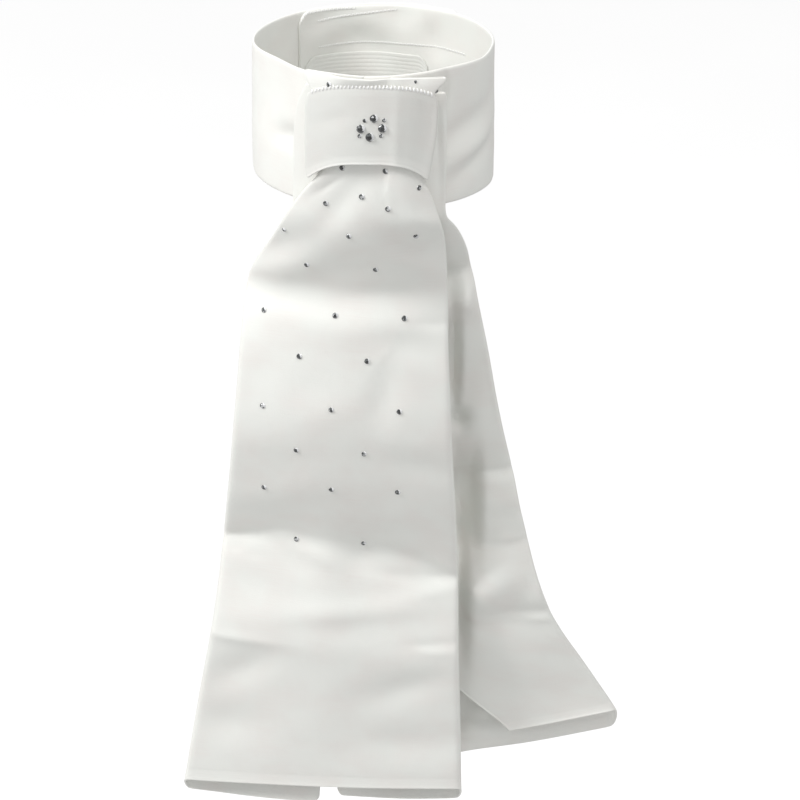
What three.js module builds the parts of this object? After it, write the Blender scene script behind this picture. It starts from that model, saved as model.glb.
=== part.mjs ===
// Ready-tied stock tie: a neck band, a knot, two folded tails and small cut stones.
// Millimetres, +Z up, the front faces -Y. The origin is the middle of the neck opening.

import * as THREE from "three";

const { degToRad: rad, lerp: mix, smoothstep: ease, clamp, euclideanModulo } = THREE.MathUtils;

// Neck band: radius and heights of its middle surface, and how far its edges tilt from side to side
const BAND_RADIUS = 60;
const BAND_WALL = 1.6;
const BAND_TOP = 33.5;
const BAND_BOTTOM = -34.5;
const BAND_TOP_TILT = 1.2;
const BAND_BOTTOM_TILT = -2;
const BAND_COLUMNS = 90;
const BAND_LEVELS = 4;

// The band is one strip, in degrees round the neck. It starts inside at the back, goes once
// round and ends outside, behind its own start. The inner end lies close to the outer layer,
// steps in where the tape lies and out again past it, and the outer end is pressed in.
const STRIP_START = 131;
const STRIP_SWEEP = 449;
const END_CORNER = 6;
const STEP_IN = { from: 16, to: 46 };
const STEP_OUT = { from: 102, to: 152 };
const PRESS = 1.1;
const PRESS_SWEEP = 6;

// The tape that fastens the overlap, and the bare patch inside it. Angles are round the neck.
const SEAM_GAP = 0.3;
const TAPE = { wall: 1.2, from: 84, to: 48, bottom: 9, top: 28, corner: 0 };
const PATCH = { wall: 0.8, from: 127, to: 60, bottom: -20, top: 8.5, corner: 6 };
const PIECE_COLUMN = 4;
const PIECE_LEVELS = 2;
const PLY_STEP = BAND_WALL + TAPE.wall + 2 * SEAM_GAP;
const END_STEP = BAND_WALL + SEAM_GAP;

// Cloth of the knot and tails. A folded side is narrower than it is deep, because it is pressed.
const TAIL_WALL = 1.2;
const KNOT_WALL = 1;
const STEPS_AT_FOLD = 3;
const CREASE_SOFTNESS = 0.25;
const FOLD_PINCH = 0.55;
const CROWN_POWER = 3;

// Cut stones
const STONE_GAP = 0.3;
const STONE_SIDES = 8;
const TABLE_SHARE = 0.55;
const HEIGHT_SHARE = 0.75;
const IN_FRONT = -200;

// Soft dents (-) and bulges (+) of the band: degrees round the neck, level from its bottom (0)
// to its top (1), millimetres of push, and how wide (degrees) and high (levels) each spreads.
const BAND_DENTS = [
  { angle: -148, level: 1.04, push: -6, wide: 22, high: 0.55 },
  { angle: -136, level: 0.5, push: -1.4, wide: 9, high: 0.16 },
  { angle: -33, level: 1.0, push: 2.4, wide: 11, high: 0.44 },
  { angle: -30, level: 0.3, push: 1.0, wide: 24, high: 0.2 },
];

// A folded piece has one row for each fold or change of shape, from the top down. left and
// right are its side edges (x and z), face is how far forward its face stands, depth is half
// the depth of its folded sides, curl is the bow of its face (1/mm), leftFlap and rightFlap
// are the turned-over widths, crown raises the middle, drop lowers the flaps, trail lowers the
// left flap's free edge and pleat is the height of the pleat's step.
const FOLD_COLUMNS = [
  "left", "leftZ", "right", "rightZ", "face", "depth", "curl",
  "leftFlap", "rightFlap", "crown", "drop", "trail", "pleat",
];

const FRONT_TAIL = foldTable([
  [-32.0, 36.4, 35.3, 31.8, -68.3, 0.9, 0.0158, 29, 28, 1.0, 0, 0, 0.0],
  [-32.5, 33.4, 34.6, 30.0, -68.4, 0.9, 0.0149, 29, 28, 0.8, 0, 0, 0.0],
  [-28.6, 28.0, 30.4, 27.5, -68.6, 0.9, 0.0146, 27, 26, 0.5, 0, 0, 0.0],
  [-28.3, 21.0, 27.6, 21.0, -68.6, 0.9, 0.0146, 26, 25, 0.0, 0, 0, 0.0],
  [-28.6, 2.0, 26.6, 2.0, -68.6, 0.9, 0.0146, 24, 23, 0.0, 0, 0, 0.0],
  [-22.0, -11.0, 23.8, -18.5, -68.6, 0.9, 0.0146, 18, 17, 0.0, 0, 0, 1.2],
  [-35.5, -26.5, 28.8, -27.0, -69.0, 1.7, 0.0138, 26, 24, 1.0, 0, 0, 0.3],
  [-44.0, -40.8, 32.4, -40.8, -68.6, 1.7, 0.0120, 31, 26, 1.0, 0, 0, 0.0],
  [-51.0, -54.5, 34.5, -47.5, -64.5, 2.0, 0.0122, 34, 28, 1.0, 0, 0, 0.0],
  [-58.0, -68.0, 36.0, -59.0, -57.5, 2.3, 0.0112, 42, 33, 1.0, 0, 0, 0.0],
  [-63.4, -83.1, 37.1, -91.6, -47.0, 2.8, 0.0084, 48, 40, 4.0, 0, 0, 0.0],
  [-66.6, -104.9, 37.3, -112.3, -53.0, 3.2, 0.0050, 50, 42, 1.0, 0, 0, 0.0],
  [-70.7, -151.4, 38.9, -159.2, -54.0, 3.8, 0.0030, 53, 45, 0.0, 0, 0, 0.0],
  [-74.5, -192.4, 41.3, -201.6, -43.0, 3.6, 0.0030, 56, 48, 0.0, 0, 0, 0.0],
  [-78.3, -227.3, 43.3, -247.5, -27.0, 3.4, 0.0026, 58, 51, 8.0, 0, 0, 0.0],
  [-81.2, -252.4, 43.4, -269.1, -32.0, 3.6, 0.0022, 60, 53, 1.0, 0, 0, 0.0],
  [-85.2, -278.6, 43.6, -295.1, -35.5, 3.8, 0.0018, 62, 55, 0.0, 0, 0, 0.0],
  [-93.5, -322.5, 44.8, -331.5, -31.0, 4.0, 0.0014, 66, 60, 0.0, 1, 0, 0.0],
  [-102.3, -371.3, 45.8, -373.9, -29.1, 4.1, 0.0014, 70, 64, 0.4, 9, 4, 0.0],
]);

const REAR_TAIL = foldTable([
  [-31.0, 28.0, 32.8, 23.6, -62.0, 0.9, 0.01613, 30, 33, 0.0, 0, 0, 0],
  [-37.0, 14.0, 34.6, 9.0, -62.0, 0.9, 0.01613, 33, 33, 0.0, 0, 0, 0],
  [-37.5, -24.0, 33.6, -24.0, -62.0, 0.9, 0.01613, 33, 33, 0.0, 0, 0, 0],
  [-38.0, -40.5, 33.8, -40.5, -62.0, 0.9, 0.01613, 33, 33, 0.0, 0, 0, 0],
  [-42.0, -54.0, 40.4, -51.0, -50.0, 1.3, 0.0115, 36, 36, 0.0, 0, 0, 0],
  [-47.0, -70.0, 45.2, -66.0, -38.5, 1.8, 0.0100, 40, 40, 0.0, 0, 0, 0],
  [-49.0, -85.5, 46.9, -81.0, -26.5, 2.0, 0.0095, 42, 42, 0.0, 0, 0, 0],
  [-50.0, -101.0, 50.2, -95.5, -32.5, 2.2, 0.0085, 44, 44, 0.0, 0, 0, 0],
  [-50.0, -125.0, 53.9, -117.0, -24.0, 2.5, 0.0070, 45, 46, 0.0, 0, 0, 0],
  [-48.0, -178.0, 63.5, -170.0, -15.0, 2.5, 0.0055, 47, 50, 0.0, 0, 0, 0],
  [-46.5, -207.0, 70.2, -200.6, -2.5, 2.5, 0.0036, 48, 54, 0.0, 0, 0, 0],
  [-46.0, -224.0, 74.2, -217.6, -9.5, 2.6, 0.0026, 48, 57, 0.0, 0, 0, 0],
  [-45.0, -244.6, 78.2, -236.4, -4.0, 2.6, 0.0018, 48, 60, 0.0, 0, 0, 0],
  [-42.0, -263.8, 84.0, -255.4, -15.3, 2.7, 0.0006, 48, 66, 0.0, 0, 0, 0],
  [-39.0, -287.2, 91.6, -279.6, -7.5, 2.8, 0.0008, 48, 72, 0.0, 0, 0, 0],
  [-30.0, -336.0, 109.6, -314.4, -5.0, 3.0, 0.0012, 49, 69, 0.0, -5, 0, 0],
  [-22.0, -377.0, 128.6, -354.4, -4.2, 3.3, 0.0012, 50, 57, 0.0, -13, 0, 0],
]);

const KNOT = foldTable([
  [-30.6, 26.4, 30.3, 24.4, -70.0, 2.3, 0.0142, 12, 12, 6.2, 5, 0, 0],
  [-32.6, 23.6, 32.0, 21.6, -70.3, 2.6, 0.0142, 12, 12, 6.6, 4, 0, 0],
  [-33.2, 2.0, 31.0, 2.0, -70.8, 2.8, 0.0141, 12, 12, 8.5, 0, 0, 0],
  [-33.0, -14.6, 28.6, -14.8, -71.2, 2.9, 0.0141, 12, 12, 10.6, -5, 0, 0],
  [-32.6, -18.0, 27.6, -18.6, -71.7, 3.1, 0.0140, 12, 12, 11, -6, 0, 0],
]);

// The pleat under the knot: x of its sharp step, how wide its slope is, how far it fades out to
// the right, and the share of the face in which it fades in from the left
const PLEAT_X = 6.5;
const PLEAT_SLOPE = 2.5;
const PLEAT_FADE = 30;
const PLEAT_START_SHARE = 0.15;

// Stones of the ring on the knot: x, z and radius
const RING_STONES = [
  [0.7, 15.9, 2.2], [-5.6, 10.8, 2.2], [4.7, 10.9, 2.2], [-1.3, 6.6, 2.2],
  [-3.7, 14.9, 1.1], [5.5, 15.0, 1.1], [-6.2, 7.2, 1.1], [4.0, 7.3, 1.1],
];

// Stones of the front tail, in staggered rows: the height of each row at x = 0, and x of its
// stones. The rows fall a little from left to right.
const TAIL_STONE_RADIUS = 1.5;
const STONE_ROW_FALL = 0.044;
const TAIL_STONES = [
  { z: 33.0, x: [20.5], radius: 0.9 },
  { z: 30.6, x: [-20.6] },
  { z: 27.5, x: [30.3] },
  { z: -11.2, x: [-14.6, 6.1] },
  { z: -20.2, x: [22.3] },
  { z: -25.1, x: [-5.3] },
  { z: -30.5, x: [-22.7, 7.3] },
  { z: -49.3, x: [-43.4] },
  { z: -46.6, x: [-11.7, 20.9] },
  { z: -67.8, x: [-32.6, 1.2] },
  { z: -96.9, x: [-54.4] },
  { z: -95.0, x: [-18.9, 15.3] },
  { z: -117.4, x: [-36.9, -3.2] },
  { z: -145.8, x: [-55.6] },
  { z: -144.0, x: [-21.2, 12.8] },
  { z: -169.1, x: [-39.0, -4.9] },
  { z: -194.8, x: [-55.9] },
  { z: -192.2, x: [-21.6, 12.0] },
  { z: -229.0, x: [-40.2, -5.6] },
];

const satin = new THREE.MeshStandardMaterial({ color: 0xf1f0ec, roughness: 0.42, metalness: 0 });
const bandSatin = new THREE.MeshStandardMaterial({ color: 0xf5f4f1, roughness: 0.5, metalness: 0 });
const nylon = new THREE.MeshStandardMaterial({ color: 0xeeeeee, roughness: 0.9, metalness: 0 });
const crystal = new THREE.MeshStandardMaterial({ color: 0xd8dde0, roughness: 0.05, metalness: 0 });

function foldTable(rows) {
  return rows.map((row) => Object.fromEntries(FOLD_COLUMNS.map((name, k) => [name, row[k]])));
}

// A closed cloth wall of even thickness around a grid of points on its middle surface.
// The grid is a list of rows, each with the same number of points.
function clothWall(grid, wall) {
  const rows = grid.length;
  const columns = grid[0].length;
  const middle = (i, j) => grid[clamp(j, 0, rows - 1)][clamp(i, 0, columns - 1)];
  const points = [];
  for (const side of [0.5, -0.5]) {
    for (let j = 0; j < rows; j++) {
      for (let i = 0; i < columns; i++) {
        const across = middle(i + 1, j).clone().sub(middle(i - 1, j));
        const along = middle(i, j + 1).clone().sub(middle(i, j - 1));
        const normal = across.cross(along).normalize();
        points.push(middle(i, j).clone().addScaledVector(normal, side * wall));
      }
    }
  }
  const index = [];
  const front = (i, j) => j * columns + i;
  const back = (i, j) => rows * columns + j * columns + i;
  const quad = (a, b, c, d) => index.push(a, b, c, a, c, d);
  for (let j = 0; j < rows - 1; j++) {
    for (let i = 0; i < columns - 1; i++) {
      quad(front(i, j), front(i + 1, j), front(i + 1, j + 1), front(i, j + 1));
      quad(back(i, j), back(i, j + 1), back(i + 1, j + 1), back(i + 1, j));
    }
  }
  for (let i = 0; i < columns - 1; i++) {
    quad(back(i, 0), back(i + 1, 0), front(i + 1, 0), front(i, 0));
    quad(front(i, rows - 1), front(i + 1, rows - 1), back(i + 1, rows - 1), back(i, rows - 1));
  }
  const last = columns - 1;
  for (let j = 0; j < rows - 1; j++) {
    quad(front(0, j), front(0, j + 1), back(0, j + 1), back(0, j));
    quad(back(last, j), back(last, j + 1), front(last, j + 1), front(last, j));
  }
  const numbers = points.flatMap((point) => point.toArray());
  const geometry = new THREE.BufferGeometry();
  geometry.setAttribute("position", new THREE.Float32BufferAttribute(numbers, 3));
  geometry.setIndex(index);
  return geometry;
}

function named(name, geometry, material) {
  const mesh = new THREE.Mesh(geometry, material);
  mesh.name = name;
  return mesh;
}

function dentAt(angle, level) {
  let push = 0;
  for (const dent of BAND_DENTS) {
    const turn = euclideanModulo(angle - dent.angle + 180, 360) - 180;
    const away = (turn / dent.wide) ** 2 + ((level - dent.level) / dent.high) ** 2;
    push += dent.push * Math.exp(-away);
  }
  return push;
}

// A point of the band's strip: degrees of sweep from its inner end, and level 0 to 1.
function bandPoint(sweep, level, inset = 0) {
  const angle = STRIP_START - sweep;
  const stepIn = mix(END_STEP, PLY_STEP, ease(sweep, STEP_IN.from, STEP_IN.to));
  const step = stepIn * (1 - ease(sweep, STEP_OUT.from, STEP_OUT.to));
  const press = PRESS * ease(sweep, STRIP_SWEEP - PRESS_SWEEP, STRIP_SWEEP);
  const radius = BAND_RADIUS + dentAt(angle, level) - step - press - inset;
  const side = Math.cos(rad(angle));
  const fromEnd = Math.min(sweep, STRIP_SWEEP - sweep);
  const round = END_CORNER * Math.max(0, 1 - fromEnd / END_CORNER) ** 2;
  const top = BAND_TOP + BAND_TOP_TILT * side - round;
  const bottom = BAND_BOTTOM + BAND_BOTTOM_TILT * side + round;
  return new THREE.Vector3(radius * side, radius * Math.sin(rad(angle)), mix(bottom, top, level));
}

function bandWall() {
  const grid = [];
  for (let j = BAND_LEVELS; j >= 0; j--) {
    const row = [];
    for (let i = 0; i <= BAND_COLUMNS; i++) {
      row.push(bandPoint((i / BAND_COLUMNS) * STRIP_SWEEP, j / BAND_LEVELS));
    }
    grid.push(row);
  }
  return clothWall(grid, BAND_WALL);
}

// A thin piece that follows the strip's inner end, set off towards the neck by inset.
function bandPiece({ wall, from, to, bottom, top, corner }, inset) {
  const span = Math.abs(to - from);
  const columns = Math.ceil(span / PIECE_COLUMN);
  const grid = [];
  for (let j = PIECE_LEVELS; j >= 0; j--) {
    const row = [];
    for (let i = 0; i <= columns; i++) {
      const fromEnd = span * (Math.min(i, columns - i) / columns);
      const round = corner ? corner * Math.max(0, 1 - fromEnd / corner) ** 2 : 0;
      const z = mix(bottom + round, top - round, j / PIECE_LEVELS);
      const level = (z - BAND_BOTTOM) / (BAND_TOP - BAND_BOTTOM);
      const point = bandPoint(STRIP_START - mix(from, to, i / columns), level, inset);
      point.z = z;
      row.push(point);
    }
    grid.push(row);
  }
  return clothWall(grid, wall);
}

// The strip part of the way from one fold to the next
function between(fold, next, share) {
  return Object.fromEntries(FOLD_COLUMNS.map((name) => [name, mix(fold[name], next[name], share)]));
}

// Places across a folded strip, from the free edge of its left flap to that of its right flap.
function stationsAcross(faceColumns, flapColumns) {
  const steps = (part, count) =>
    Array.from({ length: count }, (_, i) => ({ part, share: (i + 1) / count }));
  return [
    ...steps("leftFlap", flapColumns).reverse(),
    ...steps("leftFold", STEPS_AT_FOLD).reverse(),
    { part: "face", share: 0 },
    ...steps("face", faceColumns),
    ...steps("rightFold", STEPS_AT_FOLD),
    ...steps("rightFlap", flapColumns),
  ];
}

// How far the pleat sets the face back at a place across it
function pleatAt(row, across, share) {
  const fadeIn = ease(share, 0, PLEAT_START_SHARE);
  const fadeOut = 1 - ease(across, PLEAT_X, PLEAT_X + PLEAT_FADE);
  const step = 0.5 - ease(across, PLEAT_X - PLEAT_SLOPE, PLEAT_X + PLEAT_SLOPE);
  return row.pleat * step * fadeIn * fadeOut;
}

// A point of a folded strip. opens is 1 where the flaps lie behind the face and -1 in front of it.
function foldedPoint(row, { part, share }, opens) {
  const out = FOLD_PINCH * row.depth;
  const leftEnd = Math.asin(row.curl * row.left) / row.curl + out;
  const rightEnd = Math.asin(row.curl * row.right) / row.curl - out;
  const turn = Math.PI * share;
  const places = {
    leftFlap: [leftEnd + share * row.leftFlap, 2 * row.depth],
    leftFold: [leftEnd - out * Math.sin(turn), row.depth * (1 - Math.cos(turn))],
    face: [mix(leftEnd, rightEnd, share), 0],
    rightFold: [rightEnd + out * Math.sin(turn), row.depth * (1 - Math.cos(turn))],
    rightFlap: [rightEnd - share * row.rightFlap, 2 * row.depth],
  };
  const [across, deep] = places[part];
  const pleat = part === "face" ? pleatAt(row, across, share) : 0;
  const ring = 1 / row.curl - deep * opens - pleat;
  const x = ring * Math.sin(row.curl * across);
  const y = row.face + 1 / row.curl - ring * Math.cos(row.curl * across);
  const place = (x - row.left) / (row.right - row.left);
  const crown = row.crown * (1 - Math.abs(2 * place - 1) ** CROWN_POWER);
  const drop = (row.drop * deep) / (2 * row.depth);
  const trail = part === "leftFlap" ? row.trail * share : 0;
  return new THREE.Vector3(x, y, mix(row.leftZ, row.rightZ, place) + crown - drop - trail);
}

function foldedStrip(table, wall, { opens, faceColumns, flapColumns }) {
  const stations = stationsAcross(faceColumns, flapColumns);
  const rows = [table[0]];
  for (let k = 0; k < table.length - 1; k++) {
    if (k > 0) rows.push(between(table[k], table[k + 1], CREASE_SOFTNESS));
    if (k < table.length - 2) rows.push(between(table[k], table[k + 1], 1 - CREASE_SOFTNESS));
  }
  rows.push(table[table.length - 1]);
  const grid = rows.map((row) => stations.map((station) => foldedPoint(row, station, opens)));
  return clothWall(grid, wall);
}

// A cut stone with a flat back, eight crown facets and a flat table, laid on the face of a mesh.
function seatedStone(name, x, z, radius, seat) {
  const start = new THREE.Vector3(x, IN_FRONT, z);
  const hit = new THREE.Raycaster(start, new THREE.Vector3(0, 1, 0)).intersectObject(seat)[0];
  const height = radius * HEIGHT_SHARE;
  const profile = [[0, 0], [radius, 0], [radius * TABLE_SHARE, height], [0, height]];
  const points = profile.map(([across, up]) => new THREE.Vector2(across, up));
  const stone = named(name, new THREE.LatheGeometry(points, STONE_SIDES), crystal);
  stone.quaternion.setFromUnitVectors(new THREE.Vector3(0, 1, 0), hit.face.normal);
  stone.position.copy(hit.point).addScaledVector(hit.face.normal, STONE_GAP);
  return stone;
}

const tapeInset = -(BAND_WALL + TAPE.wall) / 2 - SEAM_GAP;
const patchInset = (BAND_WALL + PATCH.wall) / 2 + SEAM_GAP;
const frontShape = { opens: 1, faceColumns: 14, flapColumns: 3 };
const rearShape = { opens: -1, faceColumns: 10, flapColumns: 3 };
const knotShape = { opens: 1, faceColumns: 14, flapColumns: 2 };
const collar = named("collar", bandWall(), bandSatin);
const tape = named("closure_tape", bandPiece(TAPE, tapeInset), nylon);
const patch = named("inner_patch", bandPiece(PATCH, patchInset), satin);
const frontTail = named("front_tail", foldedStrip(FRONT_TAIL, TAIL_WALL, frontShape), satin);
const rearTail = named("rear_tail", foldedStrip(REAR_TAIL, TAIL_WALL, rearShape), satin);
const knot = named("knot", foldedStrip(KNOT, KNOT_WALL, knotShape), satin);

const tie = new THREE.Group();
tie.add(collar, tape, patch, frontTail, rearTail, knot);
RING_STONES.forEach(([x, z, radius], k) => {
  tie.add(seatedStone(`ring_stone_${k + 1}`, x, z, radius, knot));
});
let count = 0;
for (const { z, x, radius = TAIL_STONE_RADIUS } of TAIL_STONES) {
  for (const across of x) {
    count += 1;
    const name = `tail_stone_${String(count).padStart(2, "0")}`;
    tie.add(seatedStone(name, across, z - STONE_ROW_FALL * across, radius, frontTail));
  }
}

export default tie;
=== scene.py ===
# Ready-tied stock tie in white satin: a neck band, a knot, two folded tails and small cut stones.
# Tables are in millimetres and MM turns them into metres. +Z is up and the front faces -Y.

import math
from collections import namedtuple

import bmesh
import bpy
from bpy.props import FloatProperty, FloatVectorProperty, IntProperty, PointerProperty
from mathutils import Matrix, Vector, noise
from mathutils.bvhtree import BVHTree


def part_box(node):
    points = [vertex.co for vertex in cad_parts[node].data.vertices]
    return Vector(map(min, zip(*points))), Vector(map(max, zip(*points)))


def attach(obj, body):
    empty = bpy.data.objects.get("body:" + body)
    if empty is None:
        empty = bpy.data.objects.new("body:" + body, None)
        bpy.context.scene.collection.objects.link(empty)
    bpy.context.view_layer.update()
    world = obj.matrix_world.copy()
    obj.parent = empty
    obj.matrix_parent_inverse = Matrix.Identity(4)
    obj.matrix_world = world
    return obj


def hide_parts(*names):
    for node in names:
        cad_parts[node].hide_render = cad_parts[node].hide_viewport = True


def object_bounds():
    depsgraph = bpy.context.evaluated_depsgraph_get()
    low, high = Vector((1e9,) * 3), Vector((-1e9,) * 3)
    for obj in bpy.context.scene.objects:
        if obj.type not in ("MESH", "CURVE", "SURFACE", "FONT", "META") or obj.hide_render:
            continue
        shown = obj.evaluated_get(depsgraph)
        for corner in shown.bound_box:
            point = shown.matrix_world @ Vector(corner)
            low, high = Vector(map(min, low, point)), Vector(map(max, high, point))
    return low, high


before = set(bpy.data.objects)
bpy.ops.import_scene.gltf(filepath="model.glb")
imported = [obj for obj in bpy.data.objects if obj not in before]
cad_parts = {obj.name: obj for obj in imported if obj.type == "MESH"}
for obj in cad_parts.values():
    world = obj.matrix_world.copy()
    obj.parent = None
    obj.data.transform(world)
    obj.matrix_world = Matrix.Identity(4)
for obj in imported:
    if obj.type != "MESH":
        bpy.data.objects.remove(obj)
CAD_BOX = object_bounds()

bl_info = {
    "name": "Stock tie",
    "version": (1, 0, 0),
    "blender": (4, 5, 0),
    "location": "3D View > Sidebar > Stock Tie",
    "description": "A ready-tied stock tie in satin, set with small cut stones",
    "category": "Add Mesh",
}

MM = 0.001

# Painted shade: the band's lining, its patch and the knot are coloured darker than the other satin, by
# these shares, for the shade on them; and the two tints of the painted reflections that mottle its
# sheen
LINING_PAINTED_SHADE = 0.9
PATCH_PAINTED_SHADE = 0.86
KNOT_PAINTED_SHADE = 0.9
GREEN_TINT = (0.994, 1.008, 0.997)
ROSE_TINT = (0.95, 0.87, 0.86)

# Depth of the satin's weave
WEAVE_DEPTH = 0.08

# What the camera and the lamps point at, in millimetres, the directions of the lamps, and how far
# away they stand, in metres
CAMERA_TARGET = Vector((13.1, -50, -139.6))
LAMP_TARGET = Vector((13, -40, -160))
KEY_FROM = Vector((-0.65, -0.32, 0.69))
FILL_FROM = Vector((0.4, -0.35, 0.85))
LAMP_DISTANCE = 2.3

# Radius of the floor, in metres, and the surround's strength straight below and straight above,
# as shares of its setting
FLOOR_RADIUS = 6
SURROUND_BELOW = 0.79
SURROUND_ABOVE = 1.3

# Neck band: radius, wall and edge heights of its middle surface, and how far its edges tilt
BAND_RADIUS = 60
BAND_WALL = 1.6
BAND_TOP = 33.5
BAND_BOTTOM = -34.5
BAND_TOP_TILT = 1.2
BAND_BOTTOM_TILT = -2

# The band is one strip. It starts inside at the back and goes round once and on, behind its start.
STRIP_START = 131
STRIP_SWEEP = 449
END_CORNER = 6
STEP_IN = (16, 46)
STEP_OUT = (102, 152)
PRESS = 1.1
PRESS_SWEEP = 6

# What lies on the strip's inner end, in degrees round the neck and millimetres up
PieceOnBand = namedtuple("PieceOnBand", "wall start end bottom top corner")
TAPE = PieceOnBand(1.2, 84, 48, 9, 28, 0)
PATCH = PieceOnBand(0.5, 128, 60, -20, 8.5, 6)

# The patch is sewn flat on the band, in quilted lines that stand out a little
PATCH_GAP = 0.02
QUILT_LINES = 14
QUILT_RISE = 0.14

# How far the strip's inner end lies inside its outer layer: at its very end, and over the tape
SEAM_GAP = 0.3
END_STEP = BAND_WALL + 0.1
PLY_STEP = BAND_WALL + TAPE.wall + 2 * SEAM_GAP

# Stitching inside the band: where it starts and ends, in degrees, and how far below the rim it
# lies at its start (high) and at its end (low)
Seam = namedtuple("Seam", "name start end high low")
BAND_SEAMS = [
    Seam("band_stitch_rim", 130, 100, 1.3, 1.3),
    Seam("band_stitch_top", 120, 78, 6.5, 2.4),
    Seam("band_stitch_low", 120, 34, 20.5, 19.0),
]

# Stitches: share of the set pitch, height across the seam, lean to either side and thread radius.
# An arch is listed as (share of the height, how far it stands out).
Stitch = namedtuple("Stitch", "pitch height lean thread")
BAND_STITCH = Stitch(0.6, 1.0, 0.5, 0.24)
KNOT_STITCH = Stitch(1.0, 1.6, 0.25, 0.5)
STITCH_ARCH = ((-0.5, -0.3), (-0.3, 0.18), (0.0, 0.32), (0.3, 0.18), (0.5, -0.3))
KNOT_SEAM_DROP = 0.35

# Folded pieces have one row for each fold or change of shape, from the top down. left and right
# are the side edges (x and z), face is y of the face, depth half the depth of the folded sides,
# curl the bow of the face, the flaps are the turned-over widths, crown raises the middle, drop
# lowers the flaps, pleat is the step of the pleat, soft how gently the row bends and trail how
# much more the left flap is lowered at its free edge.
Fold = namedtuple(
    "Fold",
    "left left_z right right_z face depth curl left_flap right_flap crown drop pleat soft trail",
    defaults=(0,),
)


def folds(*rows):
    return [Fold(*row) for row in rows]


FRONT_TAIL = folds(
    (-32, 36.4, 35.3, 31.8, -68.3, 0.9, 0.0158, 29, 28, 1, 0, 0, 0.5),
    (-32.5, 33.4, 34.6, 30, -68.4, 0.9, 0.0149, 29, 28, 0.8, 0, 0, 0.5),
    (-28.6, 28, 30.4, 27.5, -68.6, 0.9, 0.0146, 27, 26, 0.5, 0, 0, 0.5),
    (-28.3, 21, 27.6, 21, -68.6, 0.9, 0.0146, 26, 25, 0, 0, 0, 0.5),
    (-28.6, 2, 26.6, 2, -68.6, 0.9, 0.0146, 24, 23, 0, 0, 0, 0.3),
    (-22, -11, 23.8, -18.5, -68.6, 0.9, 0.0146, 18, 17, 0, 0, 1.2, 0.3),
    (-35.5, -26.5, 28.8, -27, -69, 1.7, 0.0138, 26, 24, 1, 0, 0.3, 0.5),
    (-44, -40.8, 32.4, -40.8, -68.6, 1.7, 0.012, 31, 26, 1, 0, 0, 0.5),
    (-51, -54.5, 34.5, -47.5, -64.5, 2, 0.0122, 34, 28, 1, 0, 0, 0.5),
    (-58, -68, 36, -59, -57.5, 2.3, 0.0112, 42, 33, 1, 0, 0, 0.5),
    (-63.4, -83.1, 37.1, -91.6, -47, 2.8, 0.0084, 48, 40, 4, 0, 0, 0.35),
    (-66.6, -104.9, 37.3, -112.3, -53, 3.2, 0.005, 50, 42, 1, 0, 0, 0.5),
    (-70.7, -151.4, 38.9, -159.2, -54, 3.8, 0.003, 53, 45, 0, 0, 0, 0.4),
    (-74.5, -192.4, 41.3, -201.6, -43, 3.6, 0.003, 56, 48, 0, 0, 0, 0.5),
    (-78.3, -227.3, 43.3, -247.5, -27, 3.4, 0.0026, 58, 51, 8, 0, 0, 0.15),
    (-81.2, -252.4, 43.4, -269.1, -32, 3.6, 0.0022, 60, 53, 1, 0, 0, 0.5),
    (-85.2, -278.6, 43.6, -295.1, -35.5, 3.8, 0.0018, 62, 55, 0, 0, 0, 0.2),
    (-93.5, -322.5, 44.8, -331.5, -31, 4, 0.0014, 66, 60, 0, 1, 0, 0.5),
    (-101.9, -369.8, 45.6, -372.4, -29, 4, 0.0014, 70, 64, 0.4, 9, 0, 0.5, 4),
    (-102.3, -371.3, 45.8, -373.9, -29.1, 4.1, 0.0014, 70, 64, 0.4, 9, 0, 0.5, 4),
)

REAR_TAIL = folds(
    (-31, 28, 32.8, 23.6, -62, 0.9, 0.01613, 30, 33, 0, 0, 0, 0.5),
    (-37, 14, 34.6, 9, -62, 0.9, 0.01613, 33, 33, 0, 0, 0, 0.5),
    (-37.5, -24, 33.6, -24, -62, 0.9, 0.01613, 33, 33, 0, 0, 0, 0.5),
    (-38, -40.5, 33.8, -40.5, -62, 0.9, 0.01613, 33, 33, 0, 0, 0, 0.3),
    (-42, -54, 40.4, -51, -50, 1.3, 0.0115, 36, 36, 0, 0, 0, 0.5),
    (-47, -70, 45.2, -66, -38.5, 1.8, 0.01, 40, 40, 0, 0, 0, 0.5),
    (-49, -86.1, 46.9, -81.6, -25, 2, 0.0095, 42, 42, 0, 0, 0, 0.3),
    (-50, -100.1, 50.2, -94.6, -34.5, 2.2, 0.0085, 44, 44, 0, 0, 0, 0.3),
    (-50, -125, 53.9, -117, -24, 2.5, 0.007, 45, 46, 0, 0, 0, 0.5),
    (-48, -178, 63.5, -170, -15, 2.5, 0.0055, 47, 50, 0, 0, 0, 0.5),
    (-46.5, -207, 70.2, -200.6, -2.5, 2.5, 0.0036, 48, 54, 0, 0, 0, 0.12),
    (-46, -224, 74.2, -217.6, -9.5, 2.6, 0.0026, 48, 57, 0, 0, 0, 0.5),
    (-45, -244.6, 78.2, -236.4, -4, 2.6, 0.0018, 48, 60, 0, 0, 0, 0.12),
    (-42, -263.8, 84, -255.4, -15.3, 2.7, 0.0006, 48, 66, 0, 0, 0, 0.5),
    (-39, -287.2, 91.6, -279.6, -7.5, 2.8, 0.0008, 48, 72, 0, 0, 0, 0.12),
    (-36, -304, 97.8, -291.8, -8, 2.8, 0.001, 48, 72, 0, 0, 0, 0.5),
    (-30, -336, 109.6, -314.4, -5, 3, 0.0012, 49, 69, 0, -5, 0, 0.5),
    (-22.3, -375.5, 128.4, -353, -3.5, 3.2, 0.0012, 50, 57, 0, -13, 0, 0.5),
    (-22, -377, 128.6, -354.4, -4.2, 3.3, 0.0012, 50, 57, 0, -13, 0, 0.5),
)

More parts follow.
